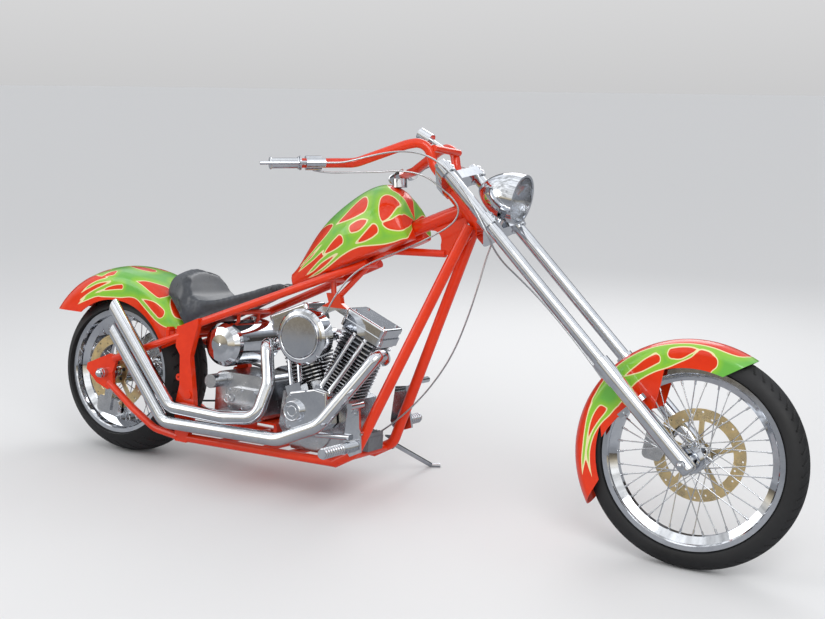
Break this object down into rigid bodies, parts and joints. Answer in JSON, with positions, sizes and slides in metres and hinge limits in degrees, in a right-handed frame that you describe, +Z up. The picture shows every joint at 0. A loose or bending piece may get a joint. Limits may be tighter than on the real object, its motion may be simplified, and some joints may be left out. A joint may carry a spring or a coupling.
{
  "type": "custom chopper motorcycle",
  "caption": "Custom chopper motorcycle with a long raked fork, a finned V-twin, a stretched tank, a solo saddle and a wide rear tyre, leaning on its side stand.",
  "frame": {"origin": "middle of the box of the whole machine, at the height of the road", "axes": "+X forward along the ground, +Y to the rider's left, +Z up; the machine leans to its left on the side stand"},
  "size_m": [2.9462, 0.9182, 1.3092],
  "materials": {
    "orange_paint": "gloss",
    "chrome": "polished",
    "polished_alloy": "polished",
    "bare_steel": "satin",
    "black_leather": "satin",
    "grey_coat": "satin",
    "black_rubber": "matte",
    "tyre_rubber": "matte",
    "lens_glass": "polished",
    "disc_steel": "satin"
  },
  "bodies": {
    "frame": {"neck_and_backbone": "orange_paint", "downtubes": "orange_paint", "rear_posts": "orange_paint", "bottom_rails": "orange_paint", "seat_rails": "orange_paint", "oil_tank": "chrome", "cross_tubes": "orange_paint", "rear_struts": "orange_paint", "rear_fender": "orange_paint", "tank": "orange_paint", "gas_cap": "chrome", "seat": "black_leather", "crankcase": "polished_alloy", "cylinders": "chrome", "rocker_boxes": "chrome", "engine_top_mount": "chrome", "cam_cover": "chrome", "pushrod_tubes": "chrome", "air_cleaner": "chrome", "carburettor": "chrome", "transmission": "polished_alloy", "drive_belt": "black_rubber", "primary_cover": "chrome", "exhaust_pipes": "chrome", "regulator": "grey_coat", "foot_controls": "chrome", "rear_axle": "chrome", "rear_caliper": "orange_paint", "stand_bracket": "bare_steel", "clutch_cable": "black_rubber", "throttle_cable": "black_rubber"},
    "fork": {"triple_trees": "chrome", "fork_tubes": "chrome", "sliders": "chrome", "handlebar": "orange_paint", "bar_gauge": "chrome", "grips": "chrome", "bar_controls": "chrome", "headlight": "chrome", "headlight_lens": "lens_glass", "front_fender": "orange_paint", "front_axle": "chrome", "front_caliper": "polished_alloy", "brake_hose": "black_rubber"},
    "front_wheel": {"front_tyre": "tyre_rubber", "front_rim": "chrome", "front_hub_spokes": "chrome", "front_disc": "disc_steel"},
    "rear_wheel": {"rear_tyre": "tyre_rubber", "rear_rim": "chrome", "rear_hub_spokes": "chrome", "rear_disc": "disc_steel", "rear_pulley": "polished_alloy"},
    "side_stand": {"side_stand": "chrome"}
  },
  "joints": [
    {"name": "steering", "type": "hinge", "parent": "frame", "child": "fork", "pos_m": [0.29982, -0.01283, 1.0429], "axis": [-0.724, 0.0888, 0.6841], "range_deg": [-30, 30], "deforming": ["clutch_cable", "throttle_cable"]},
    {"name": "front_wheel_spin", "type": "hinge", "parent": "fork", "child": "front_wheel", "pos_m": [1.13034, -0.10405, 0.34032], "axis": [0, 0.9917, -0.1288], "continuous": true},
    {"name": "rear_wheel_spin", "type": "hinge", "parent": "frame", "child": "rear_wheel", "pos_m": [-1.12567, -0.10629, 0.32374], "axis": [0, 0.9917, -0.1288], "continuous": true},
    {"name": "side_stand_fold", "type": "hinge", "parent": "frame", "child": "side_stand", "pos_m": [-0.02772, 0.04827, 0.1547], "axis": [-0.1062, 0.5444, 0.8321], "range_deg": [0, 90]}
  ]
}
